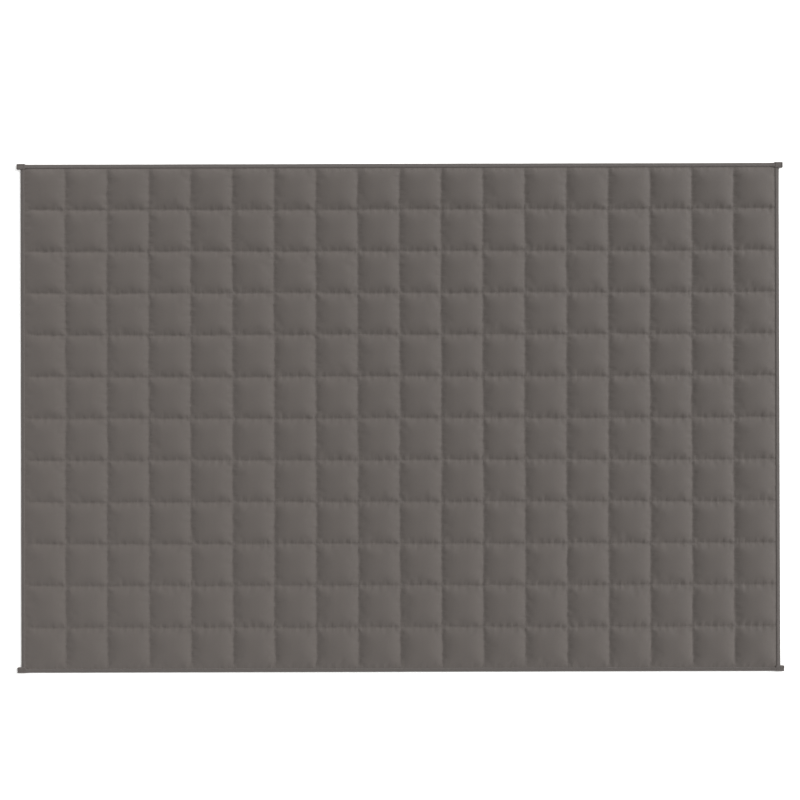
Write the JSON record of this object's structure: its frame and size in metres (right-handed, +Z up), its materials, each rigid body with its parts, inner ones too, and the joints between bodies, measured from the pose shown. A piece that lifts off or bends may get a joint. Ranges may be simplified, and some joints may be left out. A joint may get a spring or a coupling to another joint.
{
  "type": "weighted blanket",
  "caption": "Weighted blanket lying flat: a filled body quilted into square pads, edged all round with folded tape that ends in a small tab at each corner.",
  "frame": {"origin": "on the surface that the blanket lies on, under the middle of its outline", "axes": "+X along the long side, towards the right of the picture; +Y along the short side, towards the top of the picture; +Z up, out of the blanket's face"},
  "size_m": [1.848, 1.2286, 0.0127],
  "materials": {
    "cover_cloth": "warm grey plain-woven cotton and polyester cover cloth, matt, with lines of matching quilting stitches",
    "binding_cloth": "warm grey woven edging tape folded in half, matt, stitched down near its inner edge"
  },
  "bodies": {
    "root": {"quilted_body": "cover_cloth", "binding_left": "binding_cloth", "binding_right": "binding_cloth", "binding_top": "binding_cloth", "binding_bottom": "binding_cloth"}
  },
  "joints": []
}
